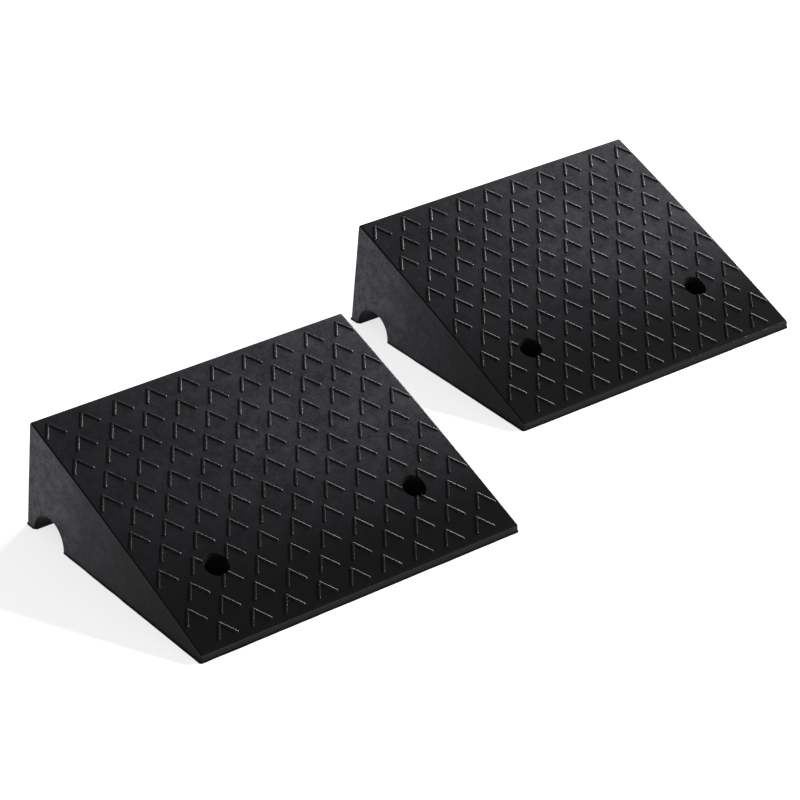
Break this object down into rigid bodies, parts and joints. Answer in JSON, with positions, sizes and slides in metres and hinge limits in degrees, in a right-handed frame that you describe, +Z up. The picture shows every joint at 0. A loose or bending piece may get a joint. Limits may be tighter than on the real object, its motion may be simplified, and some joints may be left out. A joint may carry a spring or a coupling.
{
  "type": "kerb ramp pair",
  "caption": "Pair of moulded rubber wedge ramps with raised chevron tread, recessed bolt wells near the toe and a half-round channel along the base.",
  "frame": {"origin": "on the ground, in the middle of the outline of the pair", "axes": "+X across the ramps' width, +Y from the low toe to the high back, +Z up"},
  "size_m": [1.1472, 0.5542, 0.1484],
  "materials": {
    "rubber": "matt black moulded rubber, dusty in the hollows",
    "washer_steel": "dull zinc-plated steel"
  },
  "bodies": {
    "left_ramp": {"left_ramp": "rubber", "left_ramp_left_washer": "washer_steel", "left_ramp_right_washer": "washer_steel"},
    "right_ramp": {"right_ramp": "rubber", "right_ramp_left_washer": "washer_steel", "right_ramp_right_washer": "washer_steel"}
  },
  "joints": [
    {"name": "track_spacing", "type": "slide", "parent": "left_ramp", "child": "right_ramp", "axis": [1, 0, 0], "range_m": [-0.1598, 0.96]}
  ]
}
